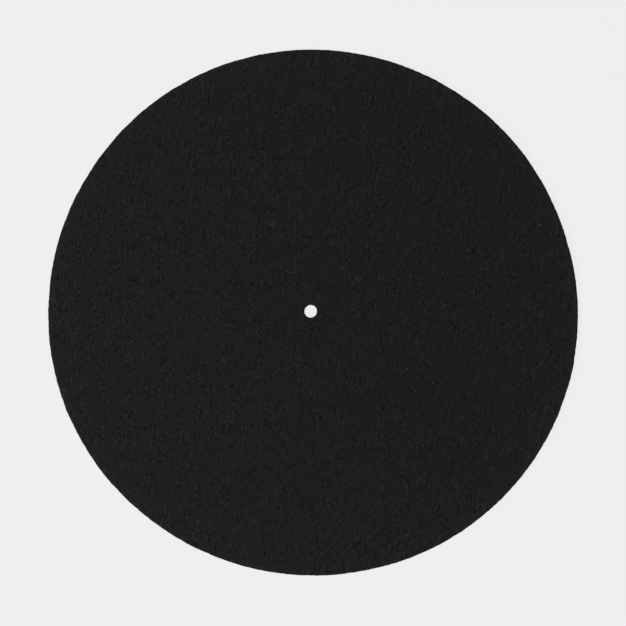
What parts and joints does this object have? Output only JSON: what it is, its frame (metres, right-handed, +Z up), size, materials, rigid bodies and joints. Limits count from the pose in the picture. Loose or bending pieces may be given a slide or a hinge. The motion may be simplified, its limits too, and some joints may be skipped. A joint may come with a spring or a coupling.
{
  "type": "turntable platter mat",
  "caption": "Round flat mat of thick black felt that lies on a turntable platter, with a centre hole for the spindle.",
  "frame": {"origin": "centre of the spindle hole, in the plane of the mat's underside", "axes": "+Z up along the spindle's axis, out of the face that the record lies on; the nap runs close to the Y axis"},
  "size_m": [0.3, 0.3, 0.003],
  "materials": {
    "felt": "thick pressed felt, near black, matt, with a short nap that leans one way and no print"
  },
  "bodies": {
    "root": {"platter_mat": "felt"}
  },
  "joints": []
}
